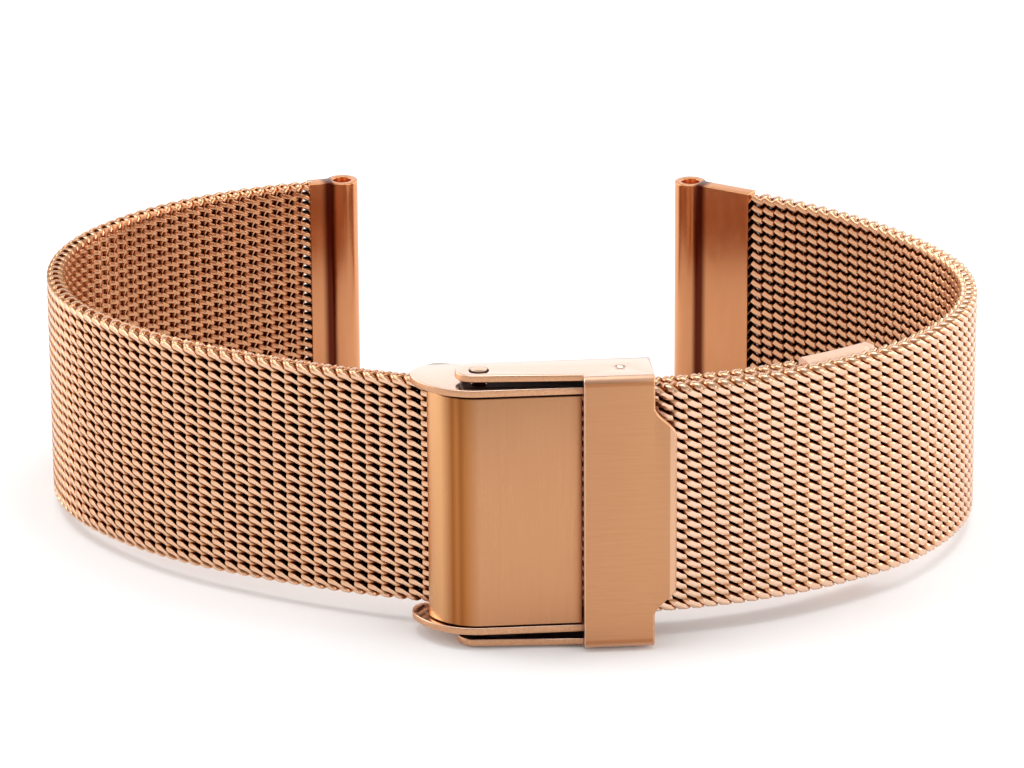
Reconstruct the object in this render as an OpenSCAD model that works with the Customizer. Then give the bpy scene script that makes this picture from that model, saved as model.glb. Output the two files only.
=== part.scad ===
// Woven mesh bracelet strap: two mesh bands, lug ends and a fold-over sliding clasp.
// It stands on its lower edge: X runs along the clasp, -Y is the clasp's front, +Z is up.

/* [Strap] */
// Width of the woven bands
strap_w = 20; // [16:0.5:24]
// Thickness of the woven bands
strap_t = 1.45; // [1.2:0.05:1.7]
// Bevel along the bands' edges
edge_bevel = 0.35; // [0.1:0.05:0.5]
// Woven length of the long band from the clasp round to its lug end
long_len = 77.4; // [60:0.2:100]
// Woven length of the short band from the clasp round to its lug end
short_len = 69.7; // [55:0.1:90]
// Woven length of the tail past the clasp
tail_len = 12.1; // [8:0.1:30]
// Length of the smooth cap on the tail's end
tip_len = 7.1; // [3:0.1:9]
// Extra thickness of the cap, on the wrist side
tip_swell = 0.25; // [0.05:0.05:0.5]
// Gap between the tail and the short band in front of it
layer_gap = 0.1; // [0.05:0.05:0.3]
// Gap where a band butts on its metal end
butt_gap = 0.05; // [0.02:0.01:0.1]
// Outer radius of the long band's bend through the clasp
clasp_bend_r = 47.5; // [42:0.5:56]
// Angle of that bend left of its foremost point
bend_left = 21; // [18:0.5:24]
// Angle of that bend right of its foremost point
bend_right = 6.5; // [5.5:0.5:9]

/* [Lug ends] */
// Outer diameter of the spring bar tubes
tube_d = 2.8; // [2.4:0.1:3.4]
// Bore for the spring bar
bore_d = 1.6; // [1.4:0.05:1.9]
// Plate between the long band and its tube
left_plate_len = 1.8; // [1:0.1:5]
// Plate between the short band and its tube
right_plate_len = 5; // [1:0.1:6]

/* [Clasp] */
// Room between each band edge and the cheek beside it
side_room = 0.2; // [0.1:0.05:0.4]
// Thickness of the frame's cheeks
cheek_t = 0.62; // [0.5:0.02:0.9]
// Gap between a cheek and the cover's arm
arm_gap = 0.54; // [0.4:0.02:0.8]
// Thickness of the cover's sheet
cover_t = 0.64; // [0.5:0.02:0.8]
// Depth of the long band's foremost point behind the lid's face
band_depth = 2.9; // [2.8:0.05:3.4]
// Distance of that point right of the rivets
band_right = 11.05; // [10.5:0.1:12]
// Reach of the cheeks right of the rivets
cheek_right = 13.1; // [12.6:0.1:13.8]
// Reach of the cheeks left of the rivets
cheek_left = 5.5; // [5.3:0.05:5.8]
// How far the cheeks' front edge stands in front of the lid's face
cheek_proud = 0.05; // [0:0.01:0.1]
// Radius of the cheeks' front right corner
cheek_corner = 0.8; // [0.4:0.1:1.2]
// Angle the base reaches left of the band's foremost point
base_left = 18.2; // [17.8:0.1:18.4]
// Radius of the cheeks' curved left end
cheek_nose_r = 5.7; // [5.4:0.1:6.2]
// Radius of the corner at the cheeks' left tip
cheek_tip_r = 2.2; // [1.8:0.1:2.6]
// Thickness of the frame's curved base
base_t = 0.7; // [0.5:0.05:1]
// Gap between the long band and the base
base_gap = 0.15; // [0.1:0.05:0.3]
// Diameter of the frame's cross bar
bar_d = 1.1; // [0.9:0.05:1.2]
// Distance of the cross bar right of the rivets
bar_right = 10; // [9.9:0.05:10.3]
// Depth of the cross bar behind the lid's face
bar_depth = 1.15; // [1.1:0.05:1.3]

/* [Lid] */
// Thickness of the lid's sheet
lid_t = 0.8; // [0.6:0.05:0.9]
// Gap between the lid's ends and the cheeks
lid_gap = 0.15; // [0.1:0.01:0.2]
// Reach of the lid right of the rivets
lid_right = 8.25; // [7.6:0.05:8.3]
// Radius of the lid's curved left end
lid_nose_r = 4.5; // [4.3:0.1:4.7]
// Angle of the curved left end
lid_nose_a = 70; // [60:1:72]
// Diameter of the lid's hinge barrel
barrel_d = 2; // [1.6:0.1:2.2]
// Distance of the lid's hinge left of the rivets
hinge_left = 2.1; // [1.9:0.05:2.3]
// Depth of the lid's hinge behind its face
hinge_depth = 2; // [1.9:0.05:2.1]
// Diameter of the hinge's trunnions
trunnion_d = 1; // [0.8:0.05:1.2]
// Reach of the trunnions into the cheeks
trunnion_in = 0.4; // [0.3:0.02:0.45]
// Radial clearance of the trunnions and rivets
run_gap = 0.06; // [0.04:0.01:0.1]

/* [Cover] */
// Distance of the cover's left edge right of the rivets
cover_left = 8.4; // [8.3:0.05:8.6]
// Distance of the cover's right edge right of the rivets
cover_right = 14.25; // [13.8:0.05:15]
// How far the cover's face stands in front of the lid's face
cover_proud = 1.2; // [1.1:0.05:1.5]
// Outer radius of the cover's bent edges
cover_round = 0.6; // [0.4:0.05:0.9]
// Depth of the back edge of the cover's sides and arms
arm_back = 3.5; // [3.3:0.05:3.8]
// Depth of the arms' front edge at the rivets
arm_front_left = 0.35; // [0.2:0.05:0.5]
// Depth of the arms' front edge at the cover
arm_front_right = -0.15; // [-0.4:0.05:0.1]
// Reach of the arms left of the rivets
arm_left = 1.95; // [1.8:0.05:2.2]
// Reach of the finger tab right of the cover
tab_out = 1.8; // [1.2:0.05:2.2]
// Height of the finger tab at its edge
tab_h = 13.4; // [10:0.2:14.6]
// Height of the finger tab at its root
tab_root_h = 18.4; // [15:0.2:20]
// Depth of the snap dimple's centre
dimple_depth = 1.2; // [1:0.05:1.8]
// Distance of the snap dimple right of the rivets
dimple_right = 11.6; // [11:0.1:12.2]
// Diameter of the snap dimple
dimple_d = 1; // [0.8:0.1:1.3]
// How deep the snap dimple is pressed in
dimple_in = 0.2; // [0.1:0.02:0.3]

/* [Rivets] */
// Depth of the rivets behind the lid's face
rivet_depth = 1.7; // [1.6:0.05:1.9]
// Diameter of the rivets' shanks
shank_d = 1.1; // [0.9:0.05:1.2]
// Diameter of the rivets' heads
head_d = 1.68; // [1.5:0.02:2]
// Height of the rivets' heads above the arms
head_h = 0.15; // [0.1:0.01:0.2]
// Gap between a head and the arm
head_gap = 0.03; // [0.02:0.01:0.04]

/* [Hook] */
// Thickness of the hook's sheet
hook_t = 0.55; // [0.4:0.05:0.6]
// Gap between the hook and the cross bar
hook_gap = 0.15; // [0.1:0.05:0.2]
// How much narrower the hook is than the band
hook_side_gap = 0.2; // [0.1:0.05:0.4]
// Distance of the short band's woven end right of the rivets
weave_start = 12.2; // [12:0.05:12.6]
// Length of the tongue that lies on the weave
tongue_len = 1.4; // [1:0.1:1.8]

/* [Hidden] */
$fn = 72;
eps = 0.01;
// Hairline between two bends of a band, as between two wire rows, and the core that joins them inside
row_slit = 0.02;
joint_core = 0.12;
rose = [0.80, 0.55, 0.40];
rose_pale = [0.87, 0.64, 0.50];
rose_deep = [0.70, 0.44, 0.30];

// Bends of the long band from the clasp to its lug end: share of the woven length, turn in degrees
left_bends = [[0.231, 13], [0.181, 23], [0.149, 36], [0.149, 35], [0.153, 25], [0.137, 17.5]];
// Bends of the short band from the clasp to its lug end: share of the woven length, turn in degrees
right_bends = [[0.267, 26], [0.201, 35], [0.201, 44], [0.205, 23], [0.126, 9.5]];

// Half heights, measured from the bands' middle
half_strap = strap_w / 2;
half_inner = half_strap + side_room;
half_cheek = half_inner + cheek_t;
half_arm_in = half_cheek + arm_gap;
half_cover = half_arm_in + cover_t;
half_crown = half_cover + head_gap + head_h;
half_lid = half_inner - lid_gap;

// Middle radii of the bands' bend through the clasp, and that bend's centre behind the lid's face
long_r = clasp_bend_r - strap_t / 2;
layer_step = strap_t + layer_gap;
short_r = long_r + layer_step;
bend_c = [band_right, band_depth + clasp_bend_r];
base_out_r = long_r - strap_t / 2 - base_gap;
base_mid_r = base_out_r - base_t / 2;
// Angle the base reaches right of the foremost point, a little short of the cheeks
base_right = asin((cheek_right - cheek_t / 4 - band_right) / base_mid_r);

// Direction from a bend's centre to its band at heading h
function out_dir(h) = [sin(h), -cos(h)];
function turned(rows, i) = i == 0 ? 0 : turned(rows, i - 1) + rows[i - 1][1];
function gone(rows, i) = i == 0 ? 0 : gone(rows, i - 1) + rows[i - 1][0];
function bend_r(rows, run_len, i) = rows[i][0] * run_len / (rows[i][1] * PI / 180);
// Centre of bend i of a run that starts at angle a on a bend of middle radius r round the origin
function centre(rows, run_len, i, a, r) = i == 0
    ? (r - bend_r(rows, run_len, 0)) * out_dir(a)
    : centre(rows, run_len, i - 1, a, r)
      + (bend_r(rows, run_len, i - 1) - bend_r(rows, run_len, i)) * out_dir(a + turned(rows, i));
function end_heading(rows, a) = a + turned(rows, len(rows));
function end_point(rows, run_len, a, r) =
    centre(rows, run_len, len(rows) - 1, a, r)
    + bend_r(rows, run_len, len(rows) - 1) * out_dir(end_heading(rows, a));
function ahead(h) = [cos(h), sin(h)];
function tube_centre(rows, run_len, a, r, plate) =
    end_point(rows, run_len, a, r) + (plate + tube_d / 2) * ahead(end_heading(rows, a));
// Points along a run's outer face, for the object's outer box
function outer_points(rows, run_len, a, r) =
    [for (i = [0 : len(rows) - 1], f = [0 : 0.05 : 1])
        centre(rows, run_len, i, a, r)
        + (bend_r(rows, run_len, i) + strap_t / 2) * out_dir(a + turned(rows, i) + f * rows[i][1])];

left_tube = tube_centre(left_bends, long_len, bend_left, long_r, left_plate_len);
right_tube = tube_centre(right_bends, short_len, bend_right, short_r, right_plate_len);
left_points = outer_points(left_bends, long_len, bend_left, long_r);
right_points = outer_points(right_bends, short_len, bend_right, short_r);
x_low = bend_c.x - max([for (p = left_points) p.x]);
x_high = bend_c.x + max([for (p = right_points) p.x]);
band_y_high = max([for (p = concat(left_points, right_points)) p.y]);
y_high = bend_c.y + max(band_y_high, left_tube.y + tube_d / 2, right_tube.y + tube_d / 2);
origin = [(x_low + x_high) / 2, (y_high - cover_proud) / 2];

// The clasp's own frame: its origin on the rivets' line, level with the lid's face and the bands' middle
module clasp_place() { translate([-origin.x, -origin.y, half_crown]) children(); }
module bend_place() { clasp_place() translate([bend_c.x, bend_c.y, 0]) children(); }
module both_sides() { for (s = [0, 1]) mirror([0, 0, s]) children(); }

module band_section(w, t, bevel) {
    polygon([[-t / 2, -w / 2 + bevel], [-t / 2 + bevel, -w / 2], [t / 2 - bevel, -w / 2],
             [t / 2, -w / 2 + bevel], [t / 2, w / 2 - bevel], [t / 2 - bevel, w / 2],
             [-t / 2 + bevel, w / 2], [-t / 2, w / 2 - bevel]]);
}

// A band of middle radius r round c, from heading a to heading b
module band(c, r, a, b, w = strap_w, t = strap_t, bevel = edge_bevel) {
    translate([c.x, c.y, 0]) rotate([0, 0, a - 90]) rotate_extrude(angle = b - a)
        translate([r, 0]) band_section(w, t, bevel);
}

// The part of a run between two lengths, step millimetres inside its own middle line
module run(rows, run_len, a, r, from = 0, to = -1, step = 0, w = strap_w, t = strap_t, joined = true) {
    stop = to < 0 ? run_len : to;
    for (i = [0 : len(rows) - 1]) {
        row_len = rows[i][0] * run_len;
        f0 = max(0, (from - gone(rows, i) * run_len) / row_len);
        f1 = min(1, (stop - gone(rows, i) * run_len) / row_len);
        h = a + turned(rows, i);
        c = centre(rows, run_len, i, a, r);
        mid_r = bend_r(rows, run_len, i) - step;
        slit_a = f0 == 0 && (i > 0 || joined) ? row_slit / mid_r * 180 / PI : 0;
        if (f1 > f0) {
            band(c, mid_r, h + f0 * rows[i][1] + slit_a, h + f1 * rows[i][1], w, t);
            if (slit_a > 0)
                translate([c.x, c.y, 0]) rotate([0, 0, h + slit_a / 2]) translate([0, -mid_r, 0])
                    cube([joint_core, t / 2, w - 2 * edge_bevel], center = true);
        }
    }
}

module long_strap() color(rose) bend_place() {
    band([0, 0], long_r, -bend_left, bend_right);
    mirror([1, 0, 0]) run(left_bends, long_len, bend_left, long_r);
    run(right_bends, short_len, bend_right, short_r, to = tail_len, step = layer_step);
}

module tail_tip() color(rose_pale) bend_place()
    run(right_bends, short_len, bend_right, short_r,
        from = tail_len + butt_gap, to = tail_len + tip_len,
        step = layer_step + tip_swell / 2, t = strap_t + tip_swell, joined = false);

module short_strap() color(rose) bend_place() {
    band([0, 0], short_r, asin((weave_start - bend_c.x) / short_r), bend_right);
    run(right_bends, short_len, bend_right, short_r);
}

module lug_end(rows, run_len, a, r, plate) {
    p = end_point(rows, run_len, a, r);
    translate([p.x, p.y, 0]) rotate([0, 0, end_heading(rows, a)]) difference() {
        union() {
            translate([butt_gap, -strap_t / 2, -strap_w / 2])
                cube([plate + tube_d / 2 - butt_gap, strap_t, strap_w]);
            translate([plate + tube_d / 2, 0, 0]) cylinder(d = tube_d, h = strap_w, center = true);
        }
        translate([plate + tube_d / 2, 0, 0])
            cylinder(d = bore_d, h = strap_w + 2 * eps, center = true);
    }
}

module left_lug_end() color(rose_deep) bend_place() mirror([1, 0, 0])
    lug_end(left_bends, long_len, bend_left, long_r, left_plate_len);

module right_lug_end() color(rose_deep) bend_place()
    lug_end(right_bends, short_len, bend_right, short_r, right_plate_len);

module hook() color(rose_deep) clasp_place()
    linear_extrude(strap_w - 2 * hook_side_gap, center = true) {
        hold_in = bar_d / 2 + hook_gap;
        hold_out = hold_in + hook_t;
        back = bend_c.y - short_r + strap_t / 2 - layer_gap / 2;
        front = bend_c.y - short_r - strap_t / 2;
        // the sheet bent round the cross bar, open towards the wrist
        translate([bar_right, bar_depth]) difference() {
            circle(r = hold_out);
            circle(r = hold_in);
            translate([-hold_in, 0]) square([2 * hold_in, 2 * hold_out]);
            translate([-2 * hold_out, hold_in]) square([4 * hold_out, 2 * hold_out]);
        }
        // the block that carries the weave, and the tongue on its face
        translate([bar_right + hold_in, bar_depth])
            square([weave_start - butt_gap - bar_right - hold_in, back - bar_depth]);
        translate([bar_right + hold_in, front - hook_t - layer_gap])
            square([weave_start + tongue_len - bar_right - hold_in, hook_t]);
        translate([bar_right + hold_in, front - hook_t - layer_gap])
            square([hook_t, bar_depth - front + hook_t + layer_gap + eps]);
    }

module cheek_outline() {
    nose_c = [0, cheek_nose_r - cheek_proud];
    reach = cheek_nose_r - cheek_tip_r;
    tip_x = cheek_tip_r - cheek_left;
    tip_c = [tip_x, nose_c.y - sqrt(reach * reach - tip_x * tip_x)];
    // directions at which the nose meets the tip's corner, and the corner meets the base
    lean = atan2(tip_c.y - nose_c.y, tip_c.x - nose_c.x) + 360;
    tip_end = 115;
    base_end = asin((cheek_right - band_right) / base_mid_r);
    polygon(concat(
        [for (a = [270 : -6 : lean]) nose_c + cheek_nose_r * [cos(a), sin(a)]],
        [for (f = [0 : 0.1 : 1]) let (a = lean + f * (tip_end - lean))
            tip_c + cheek_tip_r * [cos(a), sin(a)]],
        [for (f = [0 : 0.1 : 1])
            bend_c + base_mid_r * out_dir(f * (base_end + base_left) - base_left)],
        [for (a = [0 : -15 : -90])
            [cheek_right - cheek_corner, cheek_corner - cheek_proud] + cheek_corner * [cos(a), sin(a)]]));
}

module clasp_frame() color(rose_pale) clasp_place() difference() {
    union() {
        both_sides() translate([0, 0, half_inner]) linear_extrude(cheek_t) cheek_outline();
        // base and bar end halfway through the cheeks
        band(bend_c, base_mid_r, -base_left, base_right, half_inner + half_cheek, base_t, base_t / 8);
        translate([bar_right, bar_depth, 0])
            cylinder(d = bar_d, h = half_inner + half_cheek, center = true);
    }
    both_sides() {
        translate([-hinge_left, hinge_depth, half_inner - eps])
            cylinder(d = trunnion_d + 2 * run_gap, h = trunnion_in + run_gap + eps);
        translate([0, rivet_depth, half_inner - eps])
            cylinder(d = shank_d + 2 * run_gap, h = cheek_t + 2 * eps);
    }
}

module lid_outline() {
    nose_c = [0, lid_nose_r];
    steps = 14;
    end_a = 270 - lid_nose_a;
    polygon(concat(
        [for (i = [0 : steps]) let (a = 270 - lid_nose_a * i / steps)
            nose_c + lid_nose_r * [cos(a), sin(a)]],
        [for (i = [0 : steps]) let (a = end_a + lid_nose_a * i / steps)
            nose_c + (lid_nose_r - lid_t) * [cos(a), sin(a)]],
        [[lid_right, lid_t], [lid_right, 0]]));
}

module lid() color(rose) clasp_place() {
    linear_extrude(2 * half_lid, center = true) lid_outline();
    translate([-hinge_left, hinge_depth, 0]) {
        cylinder(d = barrel_d, h = 2 * half_lid, center = true);
        cylinder(d = trunnion_d, h = 2 * (half_inner + trunnion_in), center = true);
    }
}

module arm_outline() {
    end_r = (arm_back - arm_front_left) / 2;
    end_c = [end_r - arm_left, arm_back - end_r];
    translate(end_c) circle(r = end_r);
    polygon([[end_c.x, end_c.y - end_r], [cover_left + eps, arm_front_right],
             [cover_left + eps, arm_back], [end_c.x, arm_back]]);
}

// The cover's section across X: a sheet bent over the front, its outer edges round
module cover_section() {
    difference() {
        union() {
            translate([cover_round - cover_proud, -half_cover])
                square([arm_back + cover_proud - cover_round, 2 * half_cover]);
            translate([-cover_proud, cover_round - half_cover])
                square([cover_round + eps, 2 * (half_cover - cover_round)]);
            for (s = [-1, 1]) translate([cover_round - cover_proud, s * (half_cover - cover_round)])
                circle(r = cover_round);
        }
        translate([cover_t - cover_proud, -half_arm_in]) square([arm_back + cover_proud, 2 * half_arm_in]);
    }
}

// The finger tab: at its corners the edge swings out in a soft S, half a wave of a cosine
module tab_outline() {
    slope = [for (f = [0 : 0.1 : 1])
        [tab_out / 2 * (1 - cos(180 * f)), (tab_root_h + f * (tab_h - tab_root_h)) / 2]];
    below = [for (i = [len(slope) - 1 : -1 : 0]) [slope[i].x, -slope[i].y]];
    polygon(concat([[-eps, tab_root_h / 2]], slope, below, [[-eps, -tab_root_h / 2]]));
}

module safety_cover() color(rose) clasp_place() difference() {
    union() {
        translate([cover_left, 0, 0])
            rotate([90, 0, 90]) linear_extrude(cover_right - cover_left) cover_section();
        both_sides() translate([0, 0, half_arm_in]) linear_extrude(cover_t) arm_outline();
        translate([cover_right, cover_t - cover_proud, 0])
            rotate([90, 0, 0]) linear_extrude(cover_t) tab_outline();
        both_sides() translate([dimple_right, dimple_depth, half_arm_in - dimple_in])
            cylinder(d1 = dimple_d * 0.6, d2 = dimple_d, h = dimple_in + eps);
    }
    both_sides() {
        translate([0, rivet_depth, half_arm_in - eps])
            cylinder(d = shank_d + 2 * run_gap, h = cover_t + 2 * eps);
        translate([dimple_right, dimple_depth, half_cover - dimple_in])
            cylinder(d1 = dimple_d * 0.6, d2 = dimple_d, h = dimple_in + eps);
    }
}

// A rivet from the cheek's inner face out to the crown of its domed head
module rivet() {
    dome_r = (head_d * head_d / 4 + head_h * head_h) / (2 * head_h);
    clasp_place() translate([0, rivet_depth, 0]) {
        translate([0, 0, half_inner]) cylinder(d = shank_d, h = half_cover + head_gap - half_inner + eps);
        intersection() {
            translate([0, 0, half_crown - dome_r]) sphere(r = dome_r, $fn = 180);
            translate([0, 0, half_cover + head_gap]) cylinder(d = head_d, h = head_h + eps);
        }
    }
}

module upper_rivet() color(rose_deep) rivet();
module lower_rivet() color(rose_deep) translate([0, 0, 2 * half_crown]) mirror([0, 0, 1]) rivet();

long_strap();
tail_tip();
short_strap();
left_lug_end();
right_lug_end();
hook();
clasp_frame();
lid();
safety_cover();
upper_rivet();
lower_rivet();
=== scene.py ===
import math
import bpy
from mathutils import Matrix, Vector


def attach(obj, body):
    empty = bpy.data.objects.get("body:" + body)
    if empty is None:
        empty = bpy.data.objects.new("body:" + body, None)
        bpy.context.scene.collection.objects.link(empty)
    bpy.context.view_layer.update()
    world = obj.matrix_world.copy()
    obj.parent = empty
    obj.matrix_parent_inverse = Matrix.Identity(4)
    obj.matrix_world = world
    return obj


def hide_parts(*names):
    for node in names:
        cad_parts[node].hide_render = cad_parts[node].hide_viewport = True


# %% [markdown]
# This scene dresses a strap of woven wire with a fold-over clasp. The solids of the bands and of the clasp
# come from the CAD file and fix every size and place. The bands are woven here wire by wire, because no
# solid or bump shows how a weave catches the light. The sheet metal keeps the CAD shapes and gets softened
# edges and its finishes.

# %% Load the frame
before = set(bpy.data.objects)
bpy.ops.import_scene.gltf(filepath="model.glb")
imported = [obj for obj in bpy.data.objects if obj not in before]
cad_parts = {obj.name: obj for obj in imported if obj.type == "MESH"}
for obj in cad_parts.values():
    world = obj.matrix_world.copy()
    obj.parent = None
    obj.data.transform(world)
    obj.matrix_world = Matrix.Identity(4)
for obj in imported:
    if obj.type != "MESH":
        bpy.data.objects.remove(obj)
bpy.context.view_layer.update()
mm = 0.001
print("CAD nodes:", sorted(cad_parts))


# %% [markdown]
# An operator works on whatever is selected, and a loaded file comes with everything selected. Three small
# helpers keep that in hand: one clears the selection and picks objects, one applies a modifier as soon as
# it is set up, and one puts a piece's place into its mesh, so that every finished object stands at the
# origin.

# %% Selection and modifiers
def pick(*objects):
    if bpy.context.object and bpy.context.object.mode != "OBJECT":
        bpy.ops.object.mode_set(mode="OBJECT")
    bpy.ops.object.select_all(action="DESELECT")
    for piece in objects:
        piece.select_set(True)
    bpy.context.view_layer.objects.active = objects[0]


def apply_modifier(piece, kind, **settings):
    pick(piece)
    modifier = piece.modifiers.new(kind.lower(), kind)
    for name, value in settings.items():
        setattr(modifier, name, value)
    bpy.ops.object.modifier_apply(modifier=modifier.name)


def settle(piece):
    pick(piece)
    bpy.ops.object.transform_apply(location=True, rotation=True, scale=True)


def move(piece, x=0.0, y=0.0, z=0.0):
    piece.location = piece.location + Vector((x, y, z))
    settle(piece)


# %% [markdown]
# A real band is woven as a flat strip and takes the shape of the wrist. Both bands follow one oval loop
# here. The loop could be drawn as a free curve, but arcs that run into each other without a kink have a
# known length, so the spirals can be spaced evenly along them. The tables are the part's own: each row is
# the share of the band's length and the turn in degrees of one arc.

# %% Sizes of the loop
strap_w, strap_t, layer_step = 20 * mm, 1.45 * mm, 1.55 * mm
long_len, short_len, tail_len = 77.4 * mm, 69.7 * mm, 12.1 * mm
long_r, short_r = 46.775 * mm, 48.325 * mm
bend_left, bend_right = 21, 6.5
short_start = 1.364
left_bends = [(0.231, 13), (0.181, 23), (0.149, 36), (0.149, 35), (0.153, 25), (0.137, 17.5)]
right_bends = [(0.267, 26), (0.201, 35), (0.201, 44), (0.205, 23), (0.126, 9.5)]
bend_centre = Vector((11.05 - 4.95761, 50.4 - 28.9982, 12.18)) * mm
middle_z = bend_centre.z
print("bands %.0f mm wide and %.2f mm thick" % (strap_w / mm, strap_t / mm))


# %% Arcs
def out_dir(heading):
    return Vector((math.sin(math.radians(heading)), -math.cos(math.radians(heading)), 0))


def arcs(rows, length, start, radius):
    """Centre, radius, first and last heading of each arc of a run that starts on the clasp's own bend."""
    centre, heading, found = Vector((0, 0, 0)), start, []
    for share, turn in rows:
        bend = share * length / math.radians(turn)
        centre = centre + (radius - bend) * out_dir(heading)
        found.append((centre, bend, heading, heading + turn))
        heading, radius = heading + turn, bend
    return found


def arc_points(centre, radius, first, last, step=0.4 * mm):
    count = max(2, math.ceil(radius * math.radians(abs(last - first)) / step))
    return [centre + radius * out_dir(first + (last - first) * i / count) for i in range(count + 1)]


def joined(runs):
    points = []
    for run in runs:
        points += run if not points else run[1:]
    return points


def line_length(points):
    return sum((b - a).length for a, b in zip(points, points[1:]))


# %% The middle lines of the two bands
left_side = joined([arc_points(*arc) for arc in arcs(left_bends, long_len, bend_left, long_r)])
left_side = [Vector((-p.x, p.y, p.z)) for p in reversed(left_side)]
right_arcs = arcs(right_bends, short_len, bend_right, short_r)
tail_centre, tail_bend, tail_start = right_arcs[0][:3]
tail_turn = math.degrees(tail_len / tail_bend)
long_line = joined([
    left_side,
    arc_points(Vector((0, 0, 0)), long_r, -bend_left, bend_right),
    arc_points(tail_centre, tail_bend - layer_step, tail_start, tail_start + tail_turn)])
short_line = joined(
    [arc_points(Vector((0, 0, 0)), short_r, short_start, bend_right)]
    + [arc_points(*arc) for arc in right_arcs])
long_line = [p + bend_centre for p in long_line]
short_line = [p + bend_centre for p in short_line]
print("long band %.1f mm, short band %.1f mm" % (line_length(long_line) / mm, line_length(short_line) / mm))


# %% [markdown]
# The weave is made of flattened wire spirals that stand side by side and hook into each other. Each turn
# shows one slanting oval grain on the outer face and one on the inner face. A curve with a round bevel
# could make the wire, but the wire is wide and flat in front and narrow where it bends, so one turn is
# modelled as rings of eight points that are bridged into a tube. Everything else in the bands is a copy of
# this turn.

# %% Sizes of the wire
row_count = 22
row_pitch = 0.889 * mm
half_depth = 0.50 * mm
wire_h, bend_h, bend_w = 0.365 * mm, 0.27 * mm, 0.35 * mm
rings_per_turn, ring_points = 12, 8
# how square the loop is seen from above, and how soon the wire narrows beside a grain
loop_square, grain_fall = 0.6, 1.5
# the long band's grains stand proud at their left end, the short band's at their right end and lean more
long_weave = dict(half_span=0.98 * mm, round=1.5, lean=0.16 * mm, tilt=9, wire_w=0.27 * mm)
short_weave = dict(half_span=0.85 * mm, round=1.0, lean=0.235 * mm, tilt=-13, wire_w=0.33 * mm)
print("%d rows, %.3f mm apart" % (row_count, row_pitch / mm))


# %% Along the wire
def power(value, exponent):
    return math.copysign(abs(value) ** exponent, value)


def tilted(weave, vector):
    return Matrix.Rotation(math.radians(weave["tilt"]), 3, "Z") @ vector


def wire_point(weave, turn):
    """The spiral's middle line; turn counts degrees and is 0 in the middle of a front grain."""
    a = math.radians(turn)
    across = weave["half_span"] * power(math.sin(a), weave["round"])
    loop = Vector((across, -half_depth * power(math.cos(a), loop_square), 0))
    fall = row_pitch * turn / 360 + weave["lean"] * math.sin(2 * a)
    return tilted(weave, loop) - Vector((0, 0, fall))


def wire_ring(weave, turn):
    """Centre, two axes and two half sizes of the wire's section at an angle of its spiral."""
    a = math.radians(turn)
    along = (wire_point(weave, turn + 4) - wire_point(weave, turn - 4)).normalized()
    outward = tilted(weave, Vector((math.sin(a), -math.cos(a), 0)))
    outward = (outward - outward.dot(along) * along).normalized()
    wide = bend_w + (weave["wire_w"] - bend_w) * abs(math.cos(a)) ** grain_fall
    thick = bend_h + (wire_h - bend_h) * abs(math.cos(a))
    return wire_point(weave, turn), outward, along, thick, wide


# %% Rings to a tube
def add_ring(centre, outward, along, thick, wide):
    turned = Matrix((outward, along.cross(outward), along)).transposed()
    bpy.ops.mesh.primitive_circle_add(vertices=ring_points, radius=1)
    ring = bpy.context.object
    ring.matrix_world = Matrix.Translation(centre) @ turned.to_4x4() @ Matrix.Diagonal((thick, wide, 1, 1))
    settle(ring)
    return ring


def tube(name, rings):
    made = [add_ring(*ring) for ring in rings]
    pick(*made)
    bpy.ops.object.join()
    bpy.ops.object.mode_set(mode="EDIT")
    bpy.ops.mesh.select_all(action="SELECT")
    bpy.ops.mesh.bridge_edge_loops(type="SINGLE")
    bpy.ops.object.mode_set(mode="OBJECT")
    made[0].name = name
    return made[0]


def one_turn(weave):
    turns = [-180 + 360 * i / rings_per_turn for i in range(rings_per_turn + 1)]
    return tube("wire", [wire_ring(weave, turn) for turn in turns])


# %% [markdown]
# At the bands' edges each spiral's last turn curls over from the front to the back and is welded there,
# which makes the rounded, rope-like rims. The last turn could be bent over with the rest, but the real curl
# is fatter than the wire, so it is a short tube of its own along seven points that were read off the rim.

# %% The curl at a spiral's end
curl_path = [(-0.36, -0.50, 0.22), (-0.66, -0.47, 0.33), (-0.88, -0.28, 0.42), (-0.97, 0.00, 0.45),
             (-0.95, 0.28, 0.40), (-0.84, 0.44, 0.28), (-0.64, 0.48, 0.10)]
curl_widths = [0.26, 0.32, 0.37, 0.39, 0.37, 0.32, 0.26]
curl_thick = 0.26 * mm


def curl_rings(sign):
    """Rings from a front grain's end over the edge to the back; sign is 1 at the top and -1 at the bottom."""
    points = [Vector((sign * x, y, sign * z)) * mm for x, y, z in curl_path]
    rings = []
    for i, point in enumerate(points):
        along = (points[min(i + 1, len(points) - 1)] - points[max(i - 1, 0)]).normalized()
        side = Vector((1, 0, sign * 0.6))
        side = (side - side.dot(along) * along).normalized()
        rings.append((point, along.cross(side), along, curl_thick, curl_widths[i] * mm))
    return rings


print("each curl runs over %d rings" % len(curl_path))

# %% One spiral with its curled ends
top_z = middle_z + row_pitch * row_count / 2
low_z = middle_z - row_pitch * row_count / 2


def close_ends(piece):
    pick(piece)
    bpy.ops.object.mode_set(mode="EDIT")
    bpy.ops.mesh.select_all(action="DESELECT")
    bpy.ops.mesh.select_non_manifold()
    bpy.ops.mesh.fill_holes(sides=16)
    bpy.ops.mesh.select_all(action="SELECT")
    bpy.ops.mesh.normals_make_consistent(inside=False)
    bpy.ops.object.mode_set(mode="OBJECT")


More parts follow.
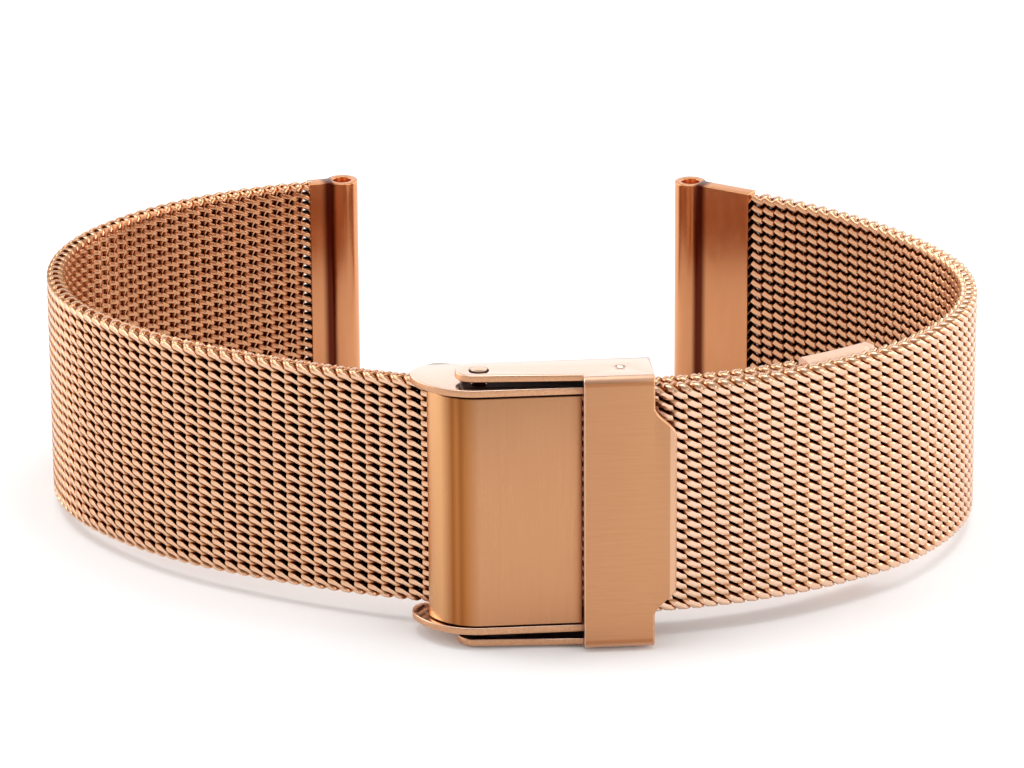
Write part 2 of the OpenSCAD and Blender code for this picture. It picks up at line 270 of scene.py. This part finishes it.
def spiral(weave):
    wire = one_turn(weave)
    apply_modifier(wire, "ARRAY", count=row_count, use_relative_offset=False, use_constant_offset=True,
                   constant_offset_displace=(0, 0, -row_pitch), use_merge_vertices=True,
                   merge_threshold=0.002 * mm)
    move(wire, z=top_z - row_pitch / 2)
    top_curl = tube("top_curl", curl_rings(1))
    move(top_curl, z=top_z - row_pitch / 2)
    bottom_curl = tube("bottom_curl", curl_rings(-1))
    move(bottom_curl, z=low_z + row_pitch / 2)
    pick(wire, top_curl, bottom_curl)
    bpy.ops.object.join()
    close_ends(wire)
    return wire


long_wire, short_wire = spiral(long_weave), spiral(short_weave)
print("one spiral:", len(long_wire.data.polygons), "faces")


# %% [markdown]
# Rolling the finished weave flattens the grains on both faces. Cutting the tips off would leave holes to
# close, so every point that stands beyond the band's thickness is pressed back onto the face instead. The
# short band's flats keep a crisp outline, as in the photograph.

# %% Press the faces flat
def press(piece, face_y):
    pick(piece)
    bpy.ops.object.mode_set(mode="EDIT")
    bpy.ops.mesh.select_all(action="DESELECT")
    bpy.ops.object.mode_set(mode="OBJECT")
    for vertex in piece.data.vertices:
        vertex.select = vertex.co.y * face_y > face_y * face_y
    bpy.ops.object.mode_set(mode="EDIT")
    bpy.ops.transform.resize(value=(1, 0, 1), center_override=(0, face_y, 0))
    bpy.ops.object.mode_set(mode="OBJECT")


def smooth(piece, angle):
    pick(piece)
    bpy.ops.object.shade_smooth_by_angle(angle=math.radians(angle))


def crisp_flats(piece):
    on_face = strap_t / 2 - 0.001 * mm
    flats = [face for face in piece.data.polygons
             if all(abs(piece.data.vertices[i].co.y) > on_face for i in face.vertices)]
    for face in flats:
        face.use_smooth = False
    print(len(flats), "of", len(piece.data.polygons), "faces are pressed flats")


for wire in (long_wire, short_wire):
    press(wire, -strap_t / 2)
    press(wire, strap_t / 2)
    smooth(wire, 52)
crisp_flats(short_wire)


# %% [markdown]
# The wire inside the weave is darker the deeper it lies: partly dirt where the polishing wheel never reaches,
# partly painted shade. A shader can't tell how deep a point of a bent band lies, so the depth is stored while
# the spiral is still flat, as an attribute that the copies and the bend carry along. On the wrist side the
# painted shade is weaker.

# %% Depth below the face
edge_fall, wrist_shade_cut, wrist_least_shade = 0.35, 0.8, 0.05


def depth_below(point):
    face_depth = strap_t / 2 - abs(point.y)
    edge_depth = edge_fall * (strap_w / 2 - abs(point.z - middle_z))
    wrist_side = max(0, point.y) / (strap_t / 2)
    depth = max(0, min(face_depth, edge_depth)) / (strap_t / 2)
    # painted shade, partly dirt, which is weaker on the wrist side
    return max((1 - wrist_shade_cut * wrist_side) * depth, wrist_least_shade * wrist_side)


for wire in (long_wire, short_wire):
    stored = wire.data.attributes.new("depth_below", "FLOAT", "POINT")
    for vertex, value in zip(wire.data.vertices, stored.data):
        value.value = depth_below(vertex.co)
    print("depth stored on", len(stored.data), "points")


# %% [markdown]
# A band is a row of spirals. Each one could be placed and turned by itself, but bending the whole row at
# once keeps them hooked into each other: an Array repeats them along a straight line, and a Curve modifier
# lays the row round the loop, so every spiral keeps its distance along the band. The bands are cut into
# pieces of about thirty spirals to keep each piece light.

# %% Spirals to bands
wanted_pitch = 1.2 * mm
end_room = 0.6 * mm


def guide_curve(name, points):
    data = bpy.data.curves.new(name, "CURVE")
    data.dimensions = "3D"
    data.twist_mode = "Z_UP"
    spline = data.splines.new("POLY")
    spline.points.add(len(points) - 1)
    for place, p in zip(spline.points, points):
        place.co = (p.x, p.y, 0, 1)
    guide = bpy.data.objects.new(name, data)
    bpy.context.collection.objects.link(guide)
    return guide


def woven(name, wire, guide, first, count, pitch):
    piece = wire.copy()
    piece.data = wire.data.copy()
    piece.name = name
    bpy.context.collection.objects.link(piece)
    apply_modifier(piece, "ARRAY", count=count, use_relative_offset=False, use_constant_offset=True,
                   constant_offset_displace=(pitch, 0, 0))
    move(piece, x=end_room + first * pitch)
    apply_modifier(piece, "CURVE", object=guide, deform_axis="POS_X")
    print(name, len(piece.data.polygons), "faces")
    return piece


def weave_band(line, wire, names):
    """Splits a band's spirals evenly over the named pieces."""
    length = line_length(line) - 2 * end_room
    total = round(length / wanted_pitch) + 1
    pitch = length / (total - 1)
    guide = guide_curve("guide", line)
    marks = [round(total * i / len(names)) for i in range(len(names) + 1)]
    pieces = [woven(name, wire, guide, a, b - a, pitch) for name, a, b in zip(names, marks, marks[1:])]
    bpy.data.objects.remove(guide)
    bpy.data.objects.remove(wire)
    print("%d spirals, %.3f mm apart" % (total, pitch / mm))
    return pieces


long_pieces = weave_band(long_line, long_wire, ["weave_left_back", "weave_left_side", "weave_clasp_and_tail"])
short_pieces = weave_band(short_line, short_wire, ["weave_right_front", "weave_right_back"])
for pieces, node in ((long_pieces, "long_strap"), (short_pieces, "short_strap")):
    for piece in pieces:
        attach(piece, "strap")
        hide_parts(node)


# %% [markdown]
# The clasp's sheet metal is stamped and tumbled, so no edge is sharp. The solids have the right shapes
# already, so nothing is modelled again: each one is copied, its loose triangles are merged into whole
# faces, and a small bevel rounds the edges so that they catch the light. A CAD node itself is never edited.

# %% Solids to sheet metal
merge_within, flat_within, edge_above = 0.002 * mm, 0.6, 28


def metal_piece(node, name, body, width, clamp=False):
    piece = bpy.data.objects.new(name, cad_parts[node].data.copy())
    bpy.context.collection.objects.link(piece)
    pick(piece)
    bpy.ops.object.mode_set(mode="EDIT")
    bpy.ops.mesh.select_all(action="SELECT")
    bpy.ops.mesh.remove_doubles(threshold=merge_within)
    bpy.ops.mesh.dissolve_limited(angle_limit=math.radians(flat_within))
    bpy.ops.object.mode_set(mode="OBJECT")
    apply_modifier(piece, "BEVEL", width=width, segments=3, limit_method="ANGLE",
                   angle_limit=math.radians(edge_above), use_clamp_overlap=clamp)
    smooth(piece, edge_above)
    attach(piece, body)
    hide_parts(node)
    print(name, len(piece.data.polygons), "faces")
    return piece


# %% [markdown]
# The ends of the bands: a cap that is pressed over the tail, a plate with a tube for the spring bar at each
# free end, and the plate that hooks over the frame's bar. The cap is rounded most, because it slides along
# the wrist.

# %% Ends of the bands
tail_cap = metal_piece("tail_tip", "tail_cap", "strap", width=0.3 * mm, clamp=True)
lug_left = metal_piece("left_lug_end", "lug_left", "strap", width=0.1 * mm)
lug_right = metal_piece("right_lug_end", "lug_right", "strap", width=0.1 * mm)
hook_plate = metal_piece("hook", "hook_plate", "strap", width=0.07 * mm)

# %% [markdown]
# The clasp: the frame with its two cheeks, the lid that clamps the band, and the safety cover that snaps
# over both. Fingers pull at the cover, so it gets the widest rounding. The lid's free end almost touches
# the cover in the photograph, so its last points are moved that way.

# %% The clasp
frame_shell = metal_piece("clasp_frame", "frame_shell", "strap", width=0.1 * mm)
lid_plate = metal_piece("lid", "lid_plate", "lid", width=0.06 * mm)
cover_bow = metal_piece("safety_cover", "cover_bow", "cover", width=0.14 * mm)
end_depth, end_shift = 0.3 * mm, 0.09 * mm
lid_end = max(vertex.co.x for vertex in lid_plate.data.vertices)
for vertex in lid_plate.data.vertices:
    if vertex.co.x > lid_end - end_depth:
        vertex.co.x += end_shift
cover_right = max(vertex.co.x for vertex in cover_bow.data.vertices) / mm
print("the cover ends at x = %.2f mm" % cover_right)


# %% [markdown]
# A finish is a small network of shader nodes. Wiring every sum by hand would hide what it means, so a class
# wraps a socket and turns plain expressions into Math nodes. One more method adds any other node, and the
# rest are short names for what nearly every finish needs.

# %% Sums as expressions
class Shade:
    def __init__(self, finish, socket):
        self.finish, self.socket = finish, socket

    def combine(self, operation, other, flip=False):
        first, second = (other, self) if flip else (self, other)
        return self.finish.node("ShaderNodeMath", {"operation": operation}, {0: first, 1: second})

    def __add__(self, other):
        return self.combine("ADD", other)

    def __radd__(self, other):
        return self.combine("ADD", other, flip=True)

    def __sub__(self, other):
        return self.combine("SUBTRACT", other)

    def __rsub__(self, other):
        return self.combine("SUBTRACT", other, flip=True)

    def __mul__(self, other):
        return self.combine("MULTIPLY", other)

    def __rmul__(self, other):
        return self.combine("MULTIPLY", other, flip=True)


# %% A finish
class Finish:
    def __init__(self, name):
        self.material = bpy.data.materials.new(name)
        self.material.use_nodes = True
        self.tree = self.material.node_tree
        self.surface = self.tree.nodes["Principled BSDF"]

    def node(self, kind, settings=None, sockets=None, out=0, stops=None):
        """Adds any node: its settings and a ramp's stops first, then the values or links of its sockets."""
        made = self.tree.nodes.new(kind)
        for name, value in (settings or {}).items():
            setattr(made, name, value)
        if stops:
            ramp = made.color_ramp.elements
            while len(ramp) < len(stops):
                ramp.new(0.5)
            for element, (place, tone) in zip(ramp, stops):
                element.position, element.color = place, tone
        for name, value in (sockets or {}).items():
            self.feed(made.inputs[name], value)
        return Shade(self, made.outputs[out])

    def feed(self, socket, value):
        if isinstance(value, Shade):
            self.tree.links.new(value.socket, socket)
        else:
            socket.default_value = value

    def place(self, stretch=(1, 1, 1)):
        """Object coordinates in millimetres, squeezed or stretched along each axis."""
        where = self.node("ShaderNodeTexCoord", out=3)
        return self.node("ShaderNodeVectorMath", {"operation": "MULTIPLY"},
                         {0: where, 1: tuple(s / mm for s in stretch)})

    def axes(self):
        """X, Y and the height from the bands' middle, in millimetres."""
        parts = self.node("ShaderNodeSeparateXYZ", None, {0: self.place()})
        x, y, z = (Shade(self, socket) for socket in parts.socket.node.outputs)
        return x, y, self.node("ShaderNodeMath", {"operation": "ABSOLUTE"}, {0: z - middle_z / mm})

    def noise(self, stretch, detail=3.0, roughness=0.6):
        return self.node("ShaderNodeTexNoise", None, {
            "Vector": self.place(stretch), "Scale": 1.0, "Detail": detail, "Roughness": roughness})

    def step(self, value, start, end):
        """0 below start, 1 above end, with a soft rise between."""
        return self.node("ShaderNodeMapRange", {"interpolation_type": "SMOOTHSTEP"},
                         {"Value": value, "From Min": start, "From Max": end})

    def blend(self, share, first, second):
        return self.node("ShaderNodeMix", {"data_type": "RGBA"}, {0: share, 6: first, 7: second}, out=2)

    def stain(self, share, first, second):
        return self.node("ShaderNodeMix", {"data_type": "RGBA", "blend_type": "MULTIPLY"},
                         {0: share, 6: first, 7: second}, out=2)

    def dress(self, tone, roughness, metallic=1.0, coat=0.0, bump=None, bump_depth=0.0):
        inputs = self.surface.inputs
        for name, value in (("Base Color", tone), ("Roughness", roughness), ("Metallic", metallic),
                            ("Coat Weight", coat)):
            self.feed(inputs[name], value)
        if bump:
            self.feed(inputs["Normal"], self.node("ShaderNodeBump", None,
                                                  {"Distance": bump_depth, "Height": bump}))
        print(self.material.name, len(self.tree.nodes), "nodes")
        return self.material


# %% Colours and coats
def colour(r, g, b):
    """A colour as the eye reads it, 0 to 255, turned into the shader's linear numbers."""
    def linear(v):
        v = v / 255
        return v / 12.92 if v <= 0.04045 else ((v + 0.055) / 1.055) ** 2.4
    return (linear(r), linear(g), linear(b), 1.0)


def coat(piece, material):
    piece.data.materials.clear()
    piece.data.materials.append(material)


# %% [markdown]
# All the metal is steel with a thin rose-gold plating, and only the surface differs. The wire is bright on
# its worn crowns and darker the deeper it lies, partly dirt and partly painted shade, so its colour follows
# the stored depth through a ramp. Two bands, two tones of the same wire: the long band's deeper tone is
# painted shade. Soft patches keep it from looking new.

# %% Wire
def wire_finish(name, crown, flank):
    finish = Finish(name)
    patches = finish.noise((0.5, 0.5, 0.5), detail=2.0)
    depth = finish.node("ShaderNodeAttribute", {"attribute_name": "depth_below"}, out=2)
    # painted shade, partly dirt: the ramp darkens the wire with its depth below the face
    by_depth = finish.node("ShaderNodeValToRGB", sockets={"Fac": depth}, stops=[
        (0.0, crown), (0.06, flank), (0.24, colour(118, 58, 26)), (0.46, colour(34, 11, 5))])
    tone = finish.stain(0.25 * patches, by_depth, colour(214, 190, 170))
    return finish.dress(tone, 0.20 + 0.08 * patches + 0.2 * depth)


# the long band's deeper tones are painted shade on the same wire
long_wire_material = wire_finish("rose_long_wire", colour(234, 192, 160), colour(214, 155, 112))
short_wire_material = wire_finish("rose_short_wire", colour(240, 204, 176), colour(222, 166, 124))
for piece in long_pieces:
    coat(piece, long_wire_material)
for piece in short_pieces:
    coat(piece, short_wire_material)

# %% [markdown]
# Polished plate: a clear gloss over a nearly even colour, with a faint cloud so that the reflections aren't
# perfect. The tops of the arms, rims and cheeks get paler tones than the rest, a painted highlight. The hook
# is hidden under the cover and stays plain.

# %% Polished plate
# the pale tones are a painted highlight for the tops
pale_highlight_tones = colour(224, 188, 165), colour(231, 198, 177)
plated_tones = colour(210, 156, 118), colour(220, 168, 131)


def polished_finish(name, tones):
    finish = Finish(name)
    cloud = finish.noise((1.5, 1.5, 1.5), detail=4.0)
    return finish.dress(finish.blend(cloud, *tones), 0.14 + 0.12 * cloud, coat=1.0)


pale_highlight_material = polished_finish("rose_polished_highlight", pale_highlight_tones)
coat(hook_plate, polished_finish("rose_plated", plated_tones))


# %% [markdown]
# The cap on the tail is blasted with fine beads before it is plated. It reflects nothing sharply, so it
# looks pale from every side.

# %% Tail cap
def cap_finish():
    finish = Finish("rose_pale_cap")
    cloud = finish.noise((2.0, 2.0, 2.0), detail=3.0)
    return finish.dress(finish.blend(cloud, colour(232, 194, 168), colour(240, 206, 182)), 0.4 + 0.1 * cloud)


coat(tail_cap, cap_finish())


# %% [markdown]
# The lug ends are rolled from plate. A dark stripe of painted shade runs along the groove where the tube
# meets the plate. It is painted by the distance from the tube's axis towards the band, which holds on both
# ends.

# %% Lug ends
def lug_finish(name, tube_axis, towards_band):
    finish = Finish(name)
    cloud = finish.noise((1.0, 1.0, 0.3), detail=3.0)
    x, y = finish.axes()[:2]
    reach = (x - tube_axis[0]) * towards_band[0] + (y - tube_axis[1]) * towards_band[1]
    # painted shade along the groove
    groove_shade = finish.step(reach, 0.75, 1.15) * (1 - finish.step(reach, 1.5, 2.2))
    metal = finish.blend(cloud, colour(202, 136, 90), colour(216, 152, 108))
    return finish.dress(finish.blend(groove_shade, metal, colour(92, 38, 24)), 0.18 + 0.10 * cloud)


coat(lug_left, lug_finish("rose_lug_left", (-12.956, 28.798), (-0.986, -0.165)))
coat(lug_right, lug_finish("rose_lug_right", (18.387, 25.171), (0.809, -0.588)))


# %% [markdown]
# The frame is polished like the rest. Its cheeks get the pale tones of a painted highlight, its base the
# deeper ones. Under the cover's arms the cheeks are painted dark and dull as shade. That strip could be a
# face of its own, but its ends fade out, so it is a mask by place.

# %% Frame
def frame_finish():
    finish = Finish("rose_polished_frame")
    cloud = finish.noise((1.5, 1.5, 1.5), detail=4.0)
    x, y, height = finish.axes()
    # the cheeks get the pale tones of a painted highlight
    cheek_highlight = finish.step(height, 10.0, 10.1)
    # painted shade in the slot under the cover's arms
    under_arm_shade = (finish.step(height, 10.78, 10.81) * finish.step(x, -6.6, -6.2)
                 * finish.step(y, -28.85, -28.6) * (1 - finish.step(y, -26.6, -25.6)))
    metal = finish.blend(cheek_highlight, finish.blend(cloud, *plated_tones), finish.blend(cloud, *pale_highlight_tones))
    tone = finish.blend(under_arm_shade, metal, colour(78, 48, 34))
    return finish.dress(tone, 0.14 + 0.12 * cloud + 0.5 * under_arm_shade, coat=1 - under_arm_shade)


coat(frame_shell, frame_finish())

# %% [markdown]
# A rivet has a bright crown. Round it lies a narrow dark ring of painted shadow, mostly on the front
# half. Its shank in the gap below the arm is painted dark as shade.

# %% Rivets
rivet_x, rivet_y = -4.958, -27.298


def rivet_finish():
    finish = Finish("rose_rivets")
    x, y, height = finish.axes()
    dx, dy = x - rivet_x, y - rivet_y
    # painted shadow round the crown, strongest on the front half
    shadow_front_side = 1 - 0.8 * finish.step(dy, -0.15, 0.35)
    ring = finish.step(dx * dx + dy * dy, 0.42, 0.50) * shadow_front_side
    # painted shade on the shank in the gap
    shank_shade = 1 - finish.step(height, 11.9, 12.0)
    rivet_shade = ring + shank_shade - ring * shank_shade
    return finish.dress(finish.blend(rivet_shade, colour(232, 196, 172), colour(40, 16, 10)), 0.2 + 0.3 * rivet_shade)


rivet_material = rivet_finish()
for node in ("upper_rivet", "lower_rivet"):
    coat(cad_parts[node], rivet_material)

# %% [markdown]
# The lid is satin: fine scratches run up and down its flat face. On the left it is drawn round a bend,
# whose polished bands of painted reflection follow each other across its width. They are a ramp of four tones
# along X, because a bend this tight reflects the room in stripes that no soft light repeats.

# %% Lid
bend_from, bend_to = -9.3, -3.7
bend_light, bend_line, bend_dark = colour(218, 163, 114), colour(174, 112, 62), colour(152, 90, 45)
flat_satin = colour(195, 142, 103)
bend_reflection_bands = [(0.00, bend_light), (0.20, bend_light), (0.36, bend_dark), (0.42, bend_line), (0.48, bend_dark),
              (0.55, bend_line), (0.75, flat_satin), (1.00, flat_satin)]


def lid_finish():
    finish = Finish("rose_satin_lid")
    lines = finish.noise((3.0, 3.0, 0.12), detail=5.0, roughness=0.7)
    x = finish.axes()[0]
    across = finish.node("ShaderNodeMapRange", None, {"Value": x, "From Min": bend_from, "From Max": bend_to})
    # painted reflection bands along the bend
    bands = finish.node("ShaderNodeValToRGB", sockets={"Fac": across}, stops=bend_reflection_bands)
    tone = finish.stain(0.35 * lines, bands, colour(225, 215, 205))
    return finish.dress(tone, 0.22 + 0.14 * lines, bump=lines, bump_depth=0.002 * mm)


coat(lid_plate, lid_finish())

# %% [markdown]
# The cover's front is brushed along its length. The lines fade where the sheet folds over at the top and
# the bottom, under a pale painted highlight on the fold, with a soft painted shadow just before the fold,
# and the lip of the finger tab is lighter with a painted highlight.

# %% Cover
fold_low, fold_high = 11.4, 11.95
lip_low, lip_high = cover_right - 0.62, cover_right - 0.5


def brushed_finish():
    finish = Finish("rose_brushed")
    lines = finish.noise((0.25, 6.0, 6.0), detail=5.0, roughness=0.7)
    x, _, height = finish.axes()
    # painted highlight on the fold
    fold_highlight = finish.step(height, fold_low, fold_high)
    shadow = finish.step(height, 11.1, 11.3) * (1 - finish.step(height, 11.45, 11.65))
    # painted highlight on the finger tab's lip
    lip_highlight = finish.step(x, lip_low, lip_high)
    tone = finish.blend(lines, colour(182, 129, 90), colour(200, 147, 108))
    tone = finish.blend(0.6 * shadow, tone, colour(166, 104, 62))
    tone = finish.blend(fold_highlight, tone, colour(224, 182, 154))
    tone = finish.blend(lip_highlight, tone, colour(216, 170, 137))
    return finish.dress(tone, 0.28 + 0.16 * lines + 0.18 * fold_highlight, bump=lines, bump_depth=0.004 * mm)


coat(cover_bow, brushed_finish())


# %% [markdown]
# Three places of the stamped sheet differ from the rest: the cut edges, which are only tumbled and look
# sandy, the cover's arms and rims, which are polished and pale with a painted highlight, and the faces inside
# the slots between the arms and the cheeks, which are painted near black as shade. A mask would blur their
# outlines, so the faces themselves get another material, picked by place.

# %% Painted slot shade and tumbled metal
def edge_finish():
    finish = Finish("rose_tumbled_edge")
    grain = finish.noise((9.0, 9.0, 9.0), detail=3.0, roughness=0.7)
    tone = finish.blend(grain, colour(162, 106, 70), colour(242, 192, 152))
    return finish.dress(tone, 0.3 + 0.2 * grain, bump=grain, bump_depth=0.035 * mm)


def slot_shade_finish():
    # near-black painted shade for the faces inside the slots
    finish = Finish("rose_slot_painted_shade")
    cloud = finish.noise((2.0, 2.0, 2.0), detail=3.0)
    return finish.dress(finish.blend(cloud, colour(34, 16, 10), colour(52, 27, 17)), 0.6 + 0.1 * cloud)


edge_material, slot_shade_material = edge_finish(), slot_shade_finish()

# %% Places on the clasp
half_arm_in, half_cover, half_cheek_in = 11.36 * mm, 12.0 * mm, 10.05 * mm
cover_left_x, tab_x, close_to = 3.5 * mm, 9 * mm, 0.02 * mm
dimple, dimple_r = Vector((6.642, -27.798)) * mm, 0.6 * mm


def level(face):
    """How far a face lies above or below the bands' middle."""
    return abs(face.center.z - middle_z)


def on_arm_or_rim(face):
    on_dimple = (face.center.xy - dimple).length < dimple_r and face.center.z > middle_z
    return face.center.x < cover_left_x or level(face) > half_cover - close_to or on_dimple


def in_slot(face):
    return abs(face.normal.z) > 0.9 and abs(level(face) - half_arm_in) < close_to


def on_cover_edge(face):
    on_tab = face.center.x > tab_x and face.normal.x > 0.25 and abs(face.normal.z) < 0.8
    return on_tab or face.center.x < cover_left_x - 0.05 * mm and abs(face.normal.z) < 0.6


def on_cheek_edge(face):
    return level(face) > half_cheek_in and abs(face.normal.z) < 0.6


# %% Coat the faces by place
def coat_faces(piece, material, chosen):
    piece.data.materials.append(material)
    found = [face for face in piece.data.polygons if chosen(face)]
    for face in found:
        face.material_index = len(piece.data.materials) - 1
    print(piece.name, len(found), "faces in", material.name)


# the cover's arms and rims get the pale painted highlight
coat_faces(cover_bow, pale_highlight_material, on_arm_or_rim)
# the slot faces are painted near black as shade
coat_faces(cover_bow, slot_shade_material, in_slot)
coat_faces(cover_bow, edge_material, on_cover_edge)
coat_faces(frame_shell, edge_material, on_cheek_edge)


# %% [markdown]
# The photograph was taken with a long lens from about half a metre away, twenty degrees above the table.
# The camera could be aimed by eye, but these values come from a fit of the clasp's corners and the tubes'
# ends, so that the render can be laid over the photograph.

# %% Camera
def camera_matrix(target, distance, up, yaw, roll):
    e, y, r = (math.radians(v) for v in (up, yaw, roll))
    back = Vector((-math.sin(y) * math.cos(e), -math.cos(y) * math.cos(e), math.sin(e)))
    right = (-back).cross(Vector((0, 0, 1))).normalized()
    down = (-back).cross(right)
    image_x = math.cos(r) * right + math.sin(r) * down
    image_y = -math.sin(r) * right + math.cos(r) * down
    turned = Matrix((image_x, -image_y, back)).transposed().to_4x4()
    return Matrix.Translation(target + distance * back) @ turned


camera_data = bpy.data.cameras.new("camera")
camera_data.lens, camera_data.sensor_width = 210.94, 36
camera_data.clip_start, camera_data.clip_end = 0.01, 50
camera = bpy.data.objects.new("camera", camera_data)
bpy.context.collection.objects.link(camera)
looked_at = Vector((0.0924, 0.9018, 12.28)) * mm
camera.matrix_world = camera_matrix(looked_at, distance=522 * mm, up=20.5, yaw=4.7, roll=0.35)
bpy.context.scene.camera = camera
print("camera at", [round(v, 3) for v in camera.matrix_world.translation])

# %% [markdown]
# The strap stands on the clasp's lower rivet and on its two free ends. The clasp is taller than the bands,
# so the strap leans by two degrees. The solids stay straight, and the floor leans instead to touch all
# three. It is a sheet of pale paper, large enough for every view.

# %% Floor
front_y, foot_rise, foot_distance = -28 * mm, 2.18, 57
bpy.ops.object.select_all(action="DESELECT")
bpy.ops.mesh.primitive_plane_add(size=6, location=(0, front_y, 0),
                                 rotation=(math.atan2(foot_rise, foot_distance), 0, 0))
floor = bpy.context.object
floor.name = "floor"
paper = Finish("pale_paper")
coat(floor, paper.dress(colour(251, 252, 253), 0.8, metallic=0.0))


# %% [markdown]
# Metal shows its surroundings, so the light comes from soft panels: one behind and one above for the pale
# rims, one on each side for the bright flanks, one from the right front for the short band's grains, and
# two small low ones beside the bends. Each is given by how bright it looks, because its power would change
# with its size.

# %% Lights
def panel(name, place, size, radiance, aim=(0, 0, 0.01)):
    data = bpy.data.lights.new(name, "AREA")
    data.shape, data.size, data.size_y = "RECTANGLE", size[0], size[1]
    data.energy = radiance * math.pi * size[0] * size[1]
    light = bpy.data.objects.new(name, data)
    bpy.context.collection.objects.link(light)
    light.location = place
    light.rotation_euler = (Vector(aim) - Vector(place)).to_track_quat("-Z", "Y").to_euler()
    print(name, "%.2f W" % data.energy)


panel("back_panel", (0, 1.0, 0.45), (1.8, 0.7), 0.85)
panel("top_panel", (0, 0.0, 1.0), (0.8, 0.5), 3.5)
panel("left_panel", (-0.85, 0.3, 0.25), (0.8, 0.45), 3.4)
panel("right_panel", (0.85, 0.3, 0.25), (0.8, 0.45), 3.4)
panel("right_front_panel", (0.6, -0.5, 0.22), (0.6, 0.4), 2.8)
panel("left_low_panel", (-0.24, 0.04, 0.2), (0.15, 0.3), 1.1, aim=(-0.13, 0.02, 0))
panel("right_low_panel", (0.24, 0.04, 0.2), (0.15, 0.3), 0.6, aim=(0.13, 0.02, 0))

# %% Room light
bpy.context.scene.view_settings.view_transform = "Standard"
world = bpy.data.worlds.new("studio")
world.use_nodes = True
room = world.node_tree.nodes["Background"].inputs
room["Color"].default_value = (1.0, 0.99, 0.985, 1)
room["Strength"].default_value = 0.5
bpy.context.scene.world = world
